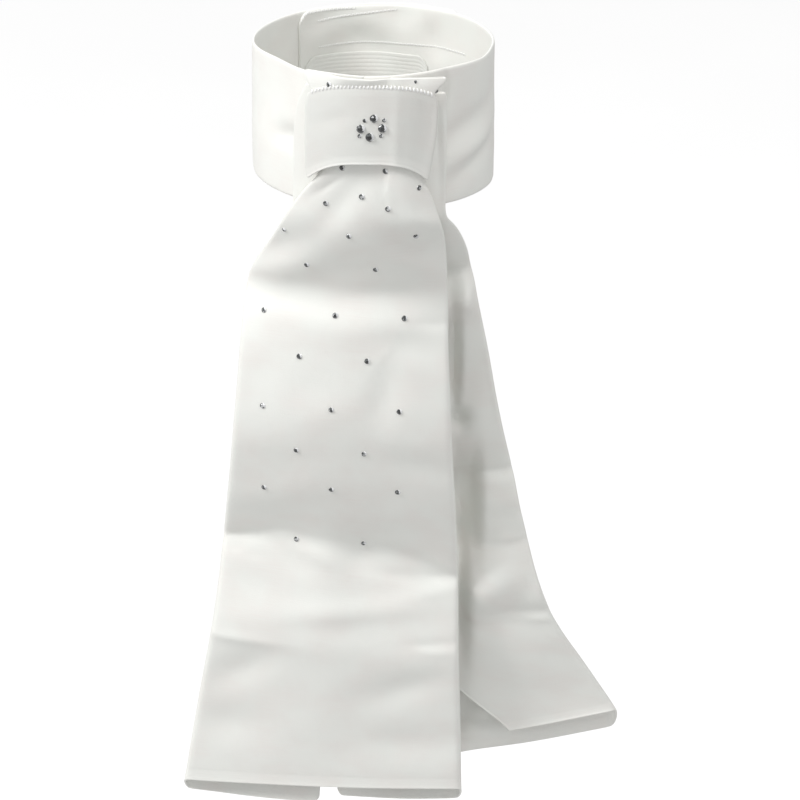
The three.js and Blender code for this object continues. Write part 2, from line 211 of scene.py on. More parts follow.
KNOT = folds(
    (-30.6, 26.4, 30.3, 24.4, -70, 2.3, 0.0142, 12, 12, 6.2, 5, 0, 0.5),
    (-32.6, 23.6, 32, 21.6, -70.3, 2.6, 0.0142, 12, 12, 6.6, 4, 0, 0.5),
    (-33.2, 2, 31, 2, -70.8, 2.8, 0.0141, 12, 12, 8.5, 0, 0, 0.5),
    (-33, -14.6, 28.6, -14.8, -71.2, 2.9, 0.0141, 12, 12, 10.6, -5, 0, 0.4),
    (-32.8, -16, 28.1, -16.4, -71.6, 3.1, 0.014, 12, 12, 10.8, -6, 0, 0.5),
    (-32.6, -18, 27.6, -18.6, -71.7, 3.1, 0.014, 12, 12, 11, -6, 0, 0.5),
)

# A cut stone: heights and widths as shares of its radius, how deep it sits in the cloth, and the
# side towards which its facets are painted bright, as glints, and how far they must face it
TABLE_HEIGHT = 0.62
CROWN_SHARE = 0.82
CROWN_HEIGHT = 0.4
GIRDLE_HEIGHT = 0.12
STONE_SINK = 0.05
BRIGHT_TOWARDS = Vector((0.9, 0.3, 0))
BRIGHT_FROM = 0.3

# The pleat under the knot: x of its sharp step, how wide its slope is, how far it fades out to the
# right, and the share of the face, from the left, over which it grows
PLEAT_X = 6.5
PLEAT_SLOPE = 0.7
PLEAT_FADE = 30
PLEAT_START = 0.15

# Columns of a folded piece: stretches of its face, as (where it starts, columns in it), and the
# columns of each flap and each folded side. The front tail's are closest together at its pleat.
Columns = namedtuple("Columns", "face left_flap right_flap fold")
FRONT_COLUMNS = Columns([(0, 26), (0.6, 16)], 6, 6, 5)
REAR_COLUMNS = Columns([(0, 24)], 8, 24, 5)
KNOT_COLUMNS = Columns([(0, 46)], 3, 3, 6)

# Width of a folded side as a share of its depth, because the cloth is pressed
FOLD_PINCH = 0.55
FOLD_ARC = math.pi * math.sqrt((1 + FOLD_PINCH**2) / 2)

# How flat the raised middle of a folded piece is: 2 is a parabola
CROWN_POWER = 3

# A hem: the strip at each end that has rows close together, and its rim and the groove of its seam
HEM = 4.5
HEM_ROWS = 8
RIM_RISE = 0.35
RIM_WIDTH = 0.8
GROOVE_DEPTH = 0.08
GROOVE_FROM_EDGE = 1.6
GROOVE_WIDTH = 0.5

# Radius of the front tail's flaps at the lower corner of their free edges
FLAP_CORNER = 4

# Places across a flap that lie close together, near its free edge
FLAP_EDGE = (0.945, 0.96, 0.975, 0.988, 1)

# Waviness of pressed satin, broad and fine. Shift and start tell its layers of cloth apart.
Wave = namedtuple("Wave", "height wide long shift start")
WAVES = (Wave(0.7, 52, 38, 3.7, 0), Wave(0.24, 19, 15, 5.1, 11))

# The band is flatter than the tails, and these are flatter at their tops: their share there, and
# where down the cloth it grows to 1
BAND_LAYER = 7
BAND_WAVINESS = 0.6
TOP_WAVINESS = 0.25
WAVINESS_GROWS = (60, 160)

# A soft fold or crease: its middle, the direction that it runs in (degrees), its length and
# width, how far it stands out (-: sinks in) and its crest: 1 is sharp, 2 is round and 4 is flat.
# Past its reach, which is a squared share of its length, it is too low to count.
Crease = namedtuple("Crease", "x z turn length width height crest", defaults=(2,))
CREASE_REACH = 9


def creases(*rows):
    return [Crease(*row) for row in rows]


FRONT_CREASES = creases(
    (-72, -228.6, 0, 50, 2.6, -2.4, 1.1),
    (-70, -235, -12, 24, 1.6, -1, 1.5),
    (-64, -252.5, -10, 46, 7, -0.6),
    (-66, -272, -10, 40, 8, 0.6),
    (-72, -282.5, -8, 46, 2.4, 1.7, 1.1),
    (-70, -302, 30, 40, 9, -2),
    (-80, -334, 0, 34, 12, -1.9),
    (32, -249.6, -8, 56, 2.6, -2.6, 1.1),
    (20, -238.4, -28, 38, 4.5, -1.7),
    (36, -241.5, -40, 18, 2, 1.2, 1.6),
    (30, -257, 8, 30, 2.4, 1, 1.5),
    (-34, -233, -24, 36, 4, 1.8),
    (-62, -226, 14, 30, 3, -1.4, 1.4),
    (-25, -244, 88, 60, 15, 2.4),
    (-6, -237, -5, 20, 6, -1.6),
    (-8, -266, 4, 80, 6, 1.6),
    (30, -285.5, 2, 26, 1.8, -1, 1.5),
    (32, -289.5, -4, 24, 1.6, 0.8, 1.5),
    (16, -312, 14, 44, 9, -1.9),
    (22, -346, 0, 54, 11, -1.6),
    (-30, -322, 70, 90, 22, 1.2),
    (34, -218, 50, 9, 1.2, 0.5, 1.6),
    (-44, -94, -4, 60, 7, 1.2),
    (-6, -88, -3, 50, 6, 1),
    (32, -100, -6, 26, 2.2, -1.5, 1.2),
    (20, -110, -20, 50, 8, -1.2),
    (6, -113, 56, 26, 1, 0.45, 1.4),
    (5, -135.5, 80, 40, 8, -1.4),
    (-4, -84, 6, 70, 7, -1.8),
    (4, -100, 4, 80, 8, 1.6),
    (-24, -146, 30, 50, 12, 1.3),
    (-58, -128, 60, 50, 10, -0.7),
    (20, -176, -12, 60, 9, -1.3),
    (-50, -196, 14, 60, 11, 1.2),
    (-17, -31, 53, 40, 6.5, -1.5),
    (16, -26, -60, 40, 5, 1.7),
    (28, -40, -18, 26, 4.5, 1.4),
    (12, -52, -30, 40, 7, -1.3),
    (-7, 36, 90, 11, 12, 3.2, 4),
    (6.5, 36, 88, 11, 3.5, -0.8),
    (22, 36, 84, 11, 8, -1.6),
    (-46, -56, 34, 40, 9, -2.4),
    (-44, -72, 20, 40, 9, 2.4),
    (-26, -17, 35, 18, 3.5, 1.4),
    (-21, -20, 35, 16, 1.2, -0.7, 1.5),
    (-20, -70, 20, 50, 9, -1.2),
    (14, -46, -30, 40, 6, -0.5),
    (10, -60, -26, 44, 7, 1.6),
    (-20, 31, 10, 20, 6, 0.8),
)
FRONT_BACK_CREASES = creases(
    (-40, -120, 12, 70, 12, -1.6),
    (10, -200, -20, 70, 10, 1.4),
    (-50, -290, 15, 60, 9, -1.4),
    (20, -330, 30, 50, 9, 1.2),
    (-66, -390, -4, 90, 8, 9),
    (20, -387, -2, 70, 7, 7),
)

# The rear tail's two deep valleys beside the front tail, which are less deep in the cloth behind
VALLEY_EASE = 3
REAR_VALLEYS = creases(
    (47.2, -218, 90, 50, 7.4, -13, 5),
    (44.4, -262, 90, 72, 4.4, -10, 4),
)
BACK_VALLEYS = [valley._replace(height=valley.height + VALLEY_EASE) for valley in REAR_VALLEYS]
STRIP_GROOVES = creases(
    (31, 8, 91, 56, 1.5, -1),
    (31.6, 20, 88, 18, 2.6, 2.2),
)
REAR_BACK_CREASES = BACK_VALLEYS + STRIP_GROOVES + creases(
    (0, -110, 8, 90, 12, 1.6),
    (40, -300, 24, 90, 12, 1.5),
    (47, -340, 64, 34, 4, -3),
    (52, -354, 10, 34, 5, 2.4),
    (50, -366, 12, 40, 3, -2.2),
)
REAR_FLAP_CREASES = REAR_VALLEYS + STRIP_GROOVES + creases(
    (34, 4, 91, 90, 0.9, 1.4),
    (40.4, -127, 90, 52, 2.6, -9, 4),
    (43.5, -165.5, 90, 12, 4.5, -5.5),
    (44, -88, 60, 14, 5, 2),
    (44, -93, 90, 18, 4.4, 6),
    (56, -122, 5, 50, 20, 1.6),
    (54, -155, 82, 60, 6, 1),
    (64, -199.8, 2, 44, 1.2, -1.8, 1.2),
    (62, -206, 0, 26, 3.5, 1.8),
    (68, -223, 10, 36, 6, -2.2),
    (67, -236.5, 9, 40, 1.3, 1.8, 1.2),
    (66, -240, 9, 36, 2.4, -1.2),
    (64, -251, 72, 46, 10, 3.6),
    (84, -256, 60, 40, 7, -1.8),
    (88, -281.5, -6, 34, 1.3, 1.6, 1.2),
    (80, -276, 0, 44, 3, -1.2),
    (74, -310, -30, 60, 14, 1.6),
    (96, -328, -20, 60, 12, -1.4),
)
KNOT_CREASES = creases(
    (-14, 6, 80, 60, 15, 0.8),
    (11, 2, 88, 60, 3, 0.6, 1.6),
    (25, 2, 86, 60, 7, -1.1),
    (30.6, 4, 86, 60, 0.9, 0.9),
    (-18, 15, 20, 18, 4, -0.4),
)

# The band's own folds. x is the way round in degrees and lengths are in millimetres.
BAND_CREASES = creases(
    (-148, 36, 0, 46, 38, -6),
    (-134, -3, 8, 22, 5, -3.2),
    (-55, 23, 84, 18, 2.6, -2.4),
    (-33, 34, 0, 24, 30, 2.4),
    (-42, 2, 18, 40, 6, -2.6),
    (-41, -10, 17, 42, 5, 3.2),
    (-35, -19.5, 20, 34, 5, -2.8),
    (-40, -26, 30, 22, 5, 0.9),
    (96, 14, 35, 40, 8, 1.3),
    (70, 10, -30, 36, 8, -1.2),
    (58, 20, 60, 26, 5, 1),
    (120, 18, -40, 26, 7, -1),
    (104, 24, -20, 34, 8, -1.4),
    (84, 22, 25, 30, 7, -1.5),
    (64, 26, -35, 30, 7, -1.4),
    (50, 6, -20, 30, 8, -1.3),
    (200, 6, 20, 40, 12, -0.8),
)

# The strips of cloth with their sides folded over. opens is 1 where the flaps lie behind the face
# and -1 where they lie in front of it. Each cloth is a layer, and so, half a step on, are its flaps.
Strip = namedtuple("Strip", "name table opens columns rows face_creases flap_creases layer")
FRONT_STRIP = Strip(
    "front_tail_cloth", FRONT_TAIL, 1, FRONT_COLUMNS, 148, FRONT_CREASES, FRONT_BACK_CREASES, 1
)
REAR_STRIP = Strip(
    "rear_tail_cloth", REAR_TAIL, -1, REAR_COLUMNS, 140, REAR_BACK_CREASES, REAR_FLAP_CREASES, 2
)
KNOT_STRIP = Strip("knot_cloth", KNOT, 1, KNOT_COLUMNS, 34, KNOT_CREASES, [], 3)

# Parts of a folded strip, in the order that the cloth runs
LEFT_FLAP, LEFT_FOLD, FACE, RIGHT_FOLD, RIGHT_FLAP = range(5)


def mix(first, last, share):
    """The value that lies a share of the way from the first to the last."""
    return first + (last - first) * share


def ease(value, low, high):
    """A smooth step from 0 at the low value to 1 at the high one."""
    share = min(max((value - low) / (high - low), 0.0), 1.0)
    return share * share * (3 - 2 * share)


def relief(table, x, z):
    """How far the soft folds and creases of a cloth stand out at a place of it."""
    push = 0.0
    for crease in table:
        turn = math.radians(crease.turn)
        along = (x - crease.x) * math.cos(turn) + (z - crease.z) * math.sin(turn)
        across = (z - crease.z) * math.cos(turn) - (x - crease.x) * math.sin(turn)
        fade = (2 * along / crease.length) ** 2
        if fade < CREASE_REACH:
            push += crease.height * math.exp(-fade - abs(across / crease.width) ** crease.crest)
    return push


def unevenness(x, z, layer):
    """Slight waviness of pressed satin, different on each layer of cloth."""
    return sum(
        wave.height
        * noise.noise(Vector((x / wave.wide, z / wave.long, layer * wave.shift + wave.start)))
        for wave in WAVES
    )


def fold_at(table, place):
    """The fold row at a place of a table, from 0 to its last row, with its corners rounded."""
    near = min(max(round(place), 0), len(table) - 1)
    offset = place - near
    soft = table[near].soft
    if 0 < near < len(table) - 1 and abs(offset) < soft:
        share = (offset + soft) / (2 * soft)
        before = [mix(b, a, soft) for a, b in zip(table[near - 1], table[near])]
        after = [mix(a, b, soft) for a, b in zip(table[near], table[near + 1])]
        weights = ((1 - share) ** 2, 2 * share * (1 - share), share**2)
        values = [
            sum(weight * value for weight, value in zip(weights, trio))
            for trio in zip(before, table[near], after)
        ]
        return Fold(*values)
    first = min(int(place), len(table) - 2)
    return Fold(*(mix(a, b, place - first) for a, b in zip(table[first], table[first + 1])))


def length_marks(table):
    """How far down the cloth each row of a fold table lies, along the middle of its face."""
    marks = [0.0]
    for upper, lower in zip(table, table[1:]):
        fall = (upper.left_z + upper.right_z - lower.left_z - lower.right_z) / 2
        marks.append(marks[-1] + math.hypot(fall, upper.face - lower.face))
    return marks


def place_at(marks, far):
    """The place in a fold table that lies far down the cloth."""
    for k in range(len(marks) - 1):
        if far <= marks[k + 1] or k == len(marks) - 2:
            return k + min((far - marks[k]) / (marks[k + 1] - marks[k]), 1.0)
    return 0.0


def pleat_step(fold, across, share):
    """How far the pleat sets the cloth in or out at a place of a row."""
    fade = ease(share, 0, PLEAT_START) * (1 - ease(across, PLEAT_X, PLEAT_X + PLEAT_FADE))
    step = 0.5 - ease(across, PLEAT_X - PLEAT_SLOPE, PLEAT_X + PLEAT_SLOPE)
    return fold.pleat * step * fade


def folded_point(strip, fold, part, share):
    """A point of a folded strip and how far across the flat cloth it lies."""
    round_out = FOLD_PINCH * fold.depth
    left_end = math.asin(fold.curl * fold.left) / fold.curl + round_out
    right_end = math.asin(fold.curl * fold.right) / fold.curl - round_out
    deep = 2 * fold.depth
    pleat = 0.0
    side, end, flap = -1, left_end, share * fold.left_flap
    if part in (RIGHT_FOLD, RIGHT_FLAP):
        side, end, flap = 1, right_end, share * fold.right_flap
    if part == FACE:
        across = mix(left_end, right_end, share)
        deep = 0.0
        flat = across
        pleat = pleat_step(fold, across, share)
    elif part in (LEFT_FOLD, RIGHT_FOLD):
        across = end + side * round_out * math.sin(math.pi * share)
        deep = fold.depth * (1 - math.cos(math.pi * share))
        flat = end + side * FOLD_ARC * fold.depth * share
    else:
        across = end - side * flap
        flat = end + side * (FOLD_ARC * fold.depth + flap)
    on_flap = deep / (2 * fold.depth)
    ring = 1 / fold.curl - deep * strip.opens - pleat
    x = ring * math.sin(fold.curl * across)
    place = (x - fold.left) / (fold.right - fold.left)
    rise = fold.crown * (1 - abs(2 * place - 1) ** CROWN_POWER) - fold.drop * on_flap
    if part == LEFT_FLAP:
        rise -= fold.trail * share
    z = mix(fold.left_z, fold.right_z, place) + rise
    ring += mix(relief(strip.face_creases, x, z), relief(strip.flap_creases, x, z), on_flap)
    x = ring * math.sin(fold.curl * across)
    y = fold.face + 1 / fold.curl - ring * math.cos(fold.curl * across)
    return Vector((x, y, z)), flat


def flap_shares(columns):
    """Places across a flap, from its fold to its free edge, where they are closest together."""
    return [FLAP_EDGE[0] * (k + 1) / columns for k in range(columns)] + list(FLAP_EDGE[1:])


def stations_across(columns):
    """Places across a folded strip, from the free edge of one flap to that of the other."""
    stations = [(LEFT_FLAP, share) for share in reversed(flap_shares(columns.left_flap))]
    stations += [(LEFT_FOLD, 1 - k / columns.fold) for k in range(columns.fold)]
    ends = [start for start, _ in columns.face[1:]] + [1]
    for (start, count), end in zip(columns.face, ends):
        stations += [(FACE, mix(start, end, k / count)) for k in range(count)]
    stations.append((FACE, 1))
    stations += [(RIGHT_FOLD, (k + 1) / columns.fold) for k in range(columns.fold)]
    stations += [(RIGHT_FLAP, share) for share in flap_shares(columns.right_flap)]
    return stations


def new_object(name, data):
    obj = bpy.data.objects.new(name, data)
    bpy.context.collection.objects.link(obj)
    return obj


def object_of(bm, name):
    """An object that takes over a bmesh."""
    mesh = bpy.data.meshes.new(name)
    bm.to_mesh(mesh)
    bm.free()
    return new_object(name, mesh)


def cloth(name, columns, rows, lay, wall):
    """A sheet of cloth from a flat grid, with its flat size as UV, in metres.

    lay(column, row) gives the point of each crossing and its place on the flat cloth, all in
    millimetres.
    """
    bm = bmesh.new()
    bmesh.ops.create_grid(bm, x_segments=columns, y_segments=rows, size=1)
    flat = bm.loops.layers.uv.new("Cloth")
    flat_places = {}
    for vert in bm.verts:
        column = round((vert.co.x + 1) / 2 * columns)
        row = round((1 - vert.co.y) / 2 * rows)
        point, flat_places[vert] = lay(column, row)
        vert.co = point * MM
    for face in bm.faces:
        face.smooth = True
        for loop in face.loops:
            loop[flat].uv = Vector(flat_places[loop.vert]) * MM
    obj = object_of(bm, name)
    thick = obj.modifiers.new("Wall", "SOLIDIFY")
    thick.thickness = wall
    thick.offset = 0
    thick.use_even_offset = True
    smooth = obj.modifiers.new("Smooth", "SUBSURF")
    smooth.levels = 1
    smooth.render_levels = 1
    return obj


def down_the_cloth(length, rows):
    """How far down each row of a cloth lies, closest together at its two ends."""
    ends = [HEM * k / HEM_ROWS for k in range(HEM_ROWS)]
    middle = [mix(HEM, length - HEM, k / rows) for k in range(rows + 1)]
    return ends + middle + [length - end for end in reversed(ends)]


def hem_relief(from_edge):
    """How far a sewn hem stands out: a rim at its edge and a groove where its seam is."""
    rim = RIM_RISE * math.exp(-((from_edge / RIM_WIDTH) ** 2))
    return rim - GROOVE_DEPTH * math.exp(-(((from_edge - GROOVE_FROM_EDGE) / GROOVE_WIDTH) ** 2))


def corner_rise(from_side, from_hem):
    """How far a flap's rounded corner lifts its hem, near its free side edge."""
    inside = max(FLAP_CORNER - from_side, 0)
    rise = FLAP_CORNER - math.sqrt(FLAP_CORNER**2 - inside**2)
    return rise * max(1 - from_hem / (3 * FLAP_CORNER), 0)


def folded_cloth(strip, wall):
    """A strip with its sides folded over, laid by its fold table from its top edge to its hem."""
    stations = stations_across(strip.columns)
    marks = length_marks(strip.table)
    length = marks[-1]
    fars = down_the_cloth(length, strip.rows)
    rows = [fold_at(strip.table, place_at(marks, far)) for far in fars]

    def lay(column, row):
        part, share = stations[column]
        fold, far = rows[row], fars[row]
        point, flat = folded_point(strip, fold, part, share)
        on_flap = part in (LEFT_FLAP, RIGHT_FLAP)
        waves = unevenness(point.x, point.z, strip.layer + (0.5 if on_flap else 0))
        point.y -= waves * mix(TOP_WAVINESS, 1, ease(far, *WAVINESS_GROWS))
        from_edge = length - far
        if on_flap:
            width = fold.left_flap if part == LEFT_FLAP else fold.right_flap
            from_side = (1 - share) * width
            if strip.opens == 1:
                point.z += corner_rise(from_side, from_edge)
            from_edge = min(from_edge, from_side)
        faces_front = on_flap == (strip.opens == -1)
        point.y += hem_relief(from_edge) * (-1 if faces_front else 1)
        return point, (flat, -far)

    return cloth(strip.name, len(stations) - 1, len(fars) - 1, lay, wall)


def round_neck(degrees):
    """Length of a stretch of the band, in millimetres."""
    return math.radians(degrees) * BAND_RADIUS


def band_point(sweep, level, inset=0.0):
    """A point of the band's strip: degrees from its inner end, and level from 0 to 1."""
    angle = STRIP_START - sweep
    step = mix(END_STEP, PLY_STEP, ease(sweep, *STEP_IN)) * (1 - ease(sweep, *STEP_OUT))
    step += PRESS * ease(sweep, STRIP_SWEEP - PRESS_SWEEP, STRIP_SWEEP)
    side = math.cos(math.radians(angle))
    from_end = min(sweep, STRIP_SWEEP - sweep)
    round_end = END_CORNER * max(0.0, 1 - from_end / END_CORNER) ** 2
    top = BAND_TOP + BAND_TOP_TILT * side - round_end
    bottom = BAND_BOTTOM + BAND_BOTTOM_TILT * side + round_end
    z = mix(bottom, top, level)
    push = 0.0
    for crease in BAND_CREASES:
        away = (angle - crease.x + 180) % 360 - 180
        push += relief([crease._replace(x=0)], round_neck(away), z)
    radius = BAND_RADIUS + push - step - inset
    radius += BAND_WAVINESS * unevenness(round_neck(angle), z, BAND_LAYER)
    return Vector((radius * side, radius * math.sin(math.radians(angle)), z))


def band_strip(columns, rows, wall):
    def lay(column, row):
        sweep = STRIP_SWEEP * column / columns
        point = band_point(sweep, 1 - row / rows)
        return point, (round_neck(sweep), point.z)

    return cloth("neck_band", columns, rows, lay, wall)


def piece_on_band(name, piece, inset, columns, rows, bulge=0.0):
    """A thin piece that follows the strip's inner end, set off towards the neck by inset."""
    span = abs(piece.end - piece.start)

    def lay(column, row):
        share = column / columns
        from_end = span * min(share, 1 - share)
        corner = piece.corner * max(0.0, 1 - from_end / piece.corner) ** 2 if piece.corner else 0.0
        level = 1 - row / rows
        z = mix(piece.bottom + corner, piece.top - corner, level)
        sweep = STRIP_START - mix(piece.start, piece.end, share)
        puff = bulge * abs(math.sin(math.pi * QUILT_LINES * level))
        point = band_point(sweep, (z - BAND_BOTTOM) / (BAND_TOP - BAND_BOTTOM), inset + puff)
        point.z = z
        return point, (round_neck(sweep), z)

    return cloth(name, columns, rows, lay, piece.wall * MM)


def threads(name, runs, radius):
    """Sewing threads along lists of points, in millimetres."""
    curve = bpy.data.curves.new(name, "CURVE")
    curve.dimensions = "3D"
    curve.bevel_depth = radius * MM
    curve.bevel_resolution = 1
    curve.use_fill_caps = True
    for points in runs:
        spline = curve.splines.new("POLY")
        spline.points.add(len(points) - 1)
        for spot, point in zip(spline.points, points):
            spot.co = (*(point * MM), 1)
    line = new_object(name, curve)
    bpy.context.view_layer.update()
    mesh = bpy.data.meshes.new_from_object(line)
    mesh.name = name
    sewn = new_object(name, mesh)
    bpy.data.objects.remove(line)
    bpy.data.curves.remove(curve)
    for polygon in mesh.polygons:
        polygon.use_smooth = True
    return sewn


def stitches(edge, length, across, out, pitch, stitch):
    """Short arched stitches across a seam. edge(far) is its line and out its outward direction.

    Each one leans by turns to either side, as a zigzag seam does.
    """
    runs = []
    count = round(length / (pitch * stitch.pitch))
    for number in range(count):
        middle = edge(length * (number + 0.5) / count)
        along = edge(length * (number + 0.6) / count) - middle
        slant = across * stitch.height + along.normalized() * stitch.lean * (1 if number % 2 else -1)
        outward = out(middle)
        runs.append([middle + slant * share + outward * up for share, up in STITCH_ARCH])
    return runs


def dress(obj, material, stands_for=None):
    """Gives a piece its body, slot and finish, and hides the node of the frame that it stands for."""
    obj.data.materials.clear()
    obj.data.materials.append(material)
    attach(obj, "root")
    if stands_for:
        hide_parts(stands_for)


def in_mm(name, description, default, low, high, precision=4):
    """A property for a length. Its values are given in millimetres."""
    return FloatProperty(
        name=name,
        description=description,
        default=default * MM,
        min=low * MM,
        max=high * MM,
        unit="LENGTH",
        precision=precision,
    )


def amount(name, description, default, high, subtype="NONE", low=0):
    """A property for a light's power or a finish."""
    return FloatProperty(
        name=name, description=description, default=default, min=low, max=high, subtype=subtype
    )


class BandSizes(bpy.types.PropertyGroup):
    """Sizes of the neck band"""

    wall: in_mm("Wall", "Thickness of the stiffened band", BAND_WALL, 0.5, 3)


class ClothSizes(bpy.types.PropertyGroup):
    """Sizes of the cloth of the tails and the knot"""

    tail_wall: in_mm("Tail cloth", "Thickness of the tails' cloth with its turned hem", 1.2, 0.4, 3)
    knot_wall: in_mm("Knot cloth", "Thickness of the knot's cloth", 1.0, 0.4, 3)
    stitch_pitch: in_mm("Stitch pitch", "Length of one zigzag of the stitching", 1.85, 1, 4)


class SatinLook(bpy.types.PropertyGroup):
    """Colour and weave of the satin"""

    colour: FloatVectorProperty(
        name="Colour",
        description="Colour of the satin",
        subtype="COLOR",
        default=(0.885, 0.88, 0.85),
        min=0,
        max=1,
    )
    roughness: amount("Roughness", "How dull the satin's face is", 0.42, 1, "FACTOR", 0.1)
    thread: in_mm("Thread", "Width of one thread of the weave", 0.24, 0.1, 1, precision=5)


class StoneSizes(bpy.types.PropertyGroup):
    """Cut of the stones"""

    facets: IntProperty(
        name="Facets", description="Main facets round each stone", default=8, min=8, max=16
    )
    table: amount("Table", "Width of the table, as a share of the stone", 0.46, 0.7, "FACTOR", 0.3)


class StageSettings(bpy.types.PropertyGroup):
    """Camera, lights and floor"""

    pitch: FloatProperty(
        name="Camera pitch",
        description="How far the camera looks down",
        default=math.radians(23.3),
        subtype="ANGLE",
    )
    distance: in_mm("Camera distance", "From the camera to the middle of the tie", 1800, 500, 9000)
    width: in_mm("View width", "Width of what the camera sees at the tie", 400, 50, 2000)
    surround: amount("Surround", "Strength of the even light from all round", 0.61, 2)
    key_power: amount("Key light", "Power of the soft light from the left, in watts", 33.5, 200)
    fill_power: amount("Fill light", "Power of the weak light from above, in watts", 10, 200)
    lamp_size: in_mm("Lamp size", "Width of each soft light", 700, 50, 3000)
    floor_drop: in_mm("Floor", "How far under the tie the floor lies", 300, 0, 2000)


class TieSettings(bpy.types.PropertyGroup):
    """All sizes and colours of the tie"""

    band: PointerProperty(type=BandSizes)
    cloth: PointerProperty(type=ClothSizes)
    satin: PointerProperty(type=SatinLook)
    stones: PointerProperty(type=StoneSizes)
    stage: PointerProperty(type=StageSettings)


def new_group(name, inputs, outputs):
    """An empty shader node group with named inputs (name, kind, default) and outputs."""
    group = bpy.data.node_groups.new(name, "ShaderNodeTree")
    for label, kind, default in inputs:
        socket = group.interface.new_socket(label, in_out="INPUT", socket_type=kind)
        if default is not None:
            socket.default_value = default
    for label, kind in outputs:
        group.interface.new_socket(label, in_out="OUTPUT", socket_type=kind)
    return group, group.nodes.new("NodeGroupInput"), group.nodes.new("NodeGroupOutput")


def fill(node, values):
    """Sets plain values on the inputs of a shader node."""
    for key, value in values.items():
        node.inputs[key].default_value = value


def add(tree, kind, links=(), values=None, **settings):
    """A shader node with its settings, plain inputs and links, as (input, output socket)."""
    node = tree.nodes.new(kind)
    for key, value in settings.items():
        setattr(node, key, value)
    fill(node, values or {})
    for key, socket in links:
        tree.links.new(socket, node.inputs[key])
    return node


def maths(tree, operation, *terms):
    """The result of a Math node. Each term is a socket or a plain number."""
    node = add(tree, "ShaderNodeMath", operation=operation)
    for number, term in enumerate(terms):
        if isinstance(term, bpy.types.NodeSocket):
            tree.links.new(term, node.inputs[number])
        else:
            node.inputs[number].default_value = term
    return node.outputs[0]


def tone_ramp(tree, socket, dark, light):
    """A colour ramp between two colours, driven by a mask."""
    ramp = add(tree, "ShaderNodeValToRGB", [("Fac", socket)])
    ramp.color_ramp.elements[0].color = (*dark, 1)
    ramp.color_ramp.elements[1].color = (*light, 1)
    return ramp


def finish(tree, shader, colour, height=None, relief_depth=0.0, strength=1.0):
    """Feeds a shader's colour and, through a bump, its normal."""
    tree.links.new(colour, shader.inputs["Base Color"])
    if height is not None:
        values = {"Distance": relief_depth * MM, "Strength": strength}
        bump = add(tree, "ShaderNodeBump", [("Height", height)], values)
        tree.links.new(bump.outputs["Normal"], shader.inputs["Normal"])


def satin_weave_group():
    """Floats and slubs of a woven satin, and clouds of painted reflection, from its flat UV in
    millimetres.
    """
    if "Satin weave" in bpy.data.node_groups:
        return bpy.data.node_groups["Satin weave"]
    group, start, end = new_group(
        "Satin weave",
        [
            ("Flat", "NodeSocketVector", None),
            ("Thread", "NodeSocketFloat", 0.24),
            ("Light", "NodeSocketColor", (0.83, 0.83, 0.80, 1)),
            ("Shade", "NodeSocketColor", (0.78, 0.77, 0.74, 1)),
            ("Roughness", "NodeSocketFloat", 0.42),
        ],
        [
            ("Colour", "NodeSocketColor"),
            ("Roughness", "NodeSocketFloat"),
            ("Height", "NodeSocketFloat"),
        ],
    )
    source = start.outputs
    flat = [("Vector", source["Flat"])]
    floats = add(
        group,
        "ShaderNodeTexBrick",
        flat + [("Row Height", source["Thread"])],
        {"Scale": 1, "Brick Width": 1.7, "Mortar Size": 0.05, "Mortar Smooth": 0.7},
    )
    stretch = add(group, "ShaderNodeMapping", flat, {"Scale": (0.06, 1.6, 1)})
    along = [("Vector", stretch.outputs["Vector"])]
    slubs = add(group, "ShaderNodeTexNoise", along, {"Scale": 1, "Detail": 3})
    # Partly the weave's slubs and partly painted reflection: the darker rose tint shows where clouds
    # and slubs meet
    clouds = add(group, "ShaderNodeTexNoise", flat, {"Scale": 0.045, "Detail": 2})
    tint = add(
        group,
        "ShaderNodeMapRange",
        [("Value", clouds.outputs["Fac"])],
        {"From Min": 0.35, "From Max": 0.7},
        interpolation_type="SMOOTHSTEP",
    )
    streak = maths(group, "MULTIPLY", slubs.outputs["Fac"], 0.5)
    dark = maths(group, "MULTIPLY", tint.outputs["Result"], streak)
    shades = [("Factor", dark), (6, source["Light"]), (7, source["Shade"])]
    colour = add(group, "ShaderNodeMix", shades, data_type="RGBA")
    rough = maths(group, "MULTIPLY_ADD", streak, 0.12, source["Roughness"])
    lift = maths(group, "MULTIPLY", floats.outputs["Fac"], -0.35)
    height = maths(group, "ADD", slubs.outputs["Fac"], lift)
    group.links.new(colour.outputs[2], end.inputs["Colour"])
    group.links.new(rough, end.inputs["Roughness"])
    group.links.new(height, end.inputs["Height"])
    return group


def new_material(name):
    material = bpy.data.materials.new(name)
    material.use_nodes = True
    return material, material.node_tree, material.node_tree.nodes["Principled BSDF"]


def pattern(tree, kind, scale, **settings):
    """A texture on a piece's own place in the tie."""
    place = add(tree, "ShaderNodeTexCoord")
    vector = [("Vector", place.outputs["Object"])]
    return add(tree, kind, vector, {"Scale": scale}, **settings).outputs


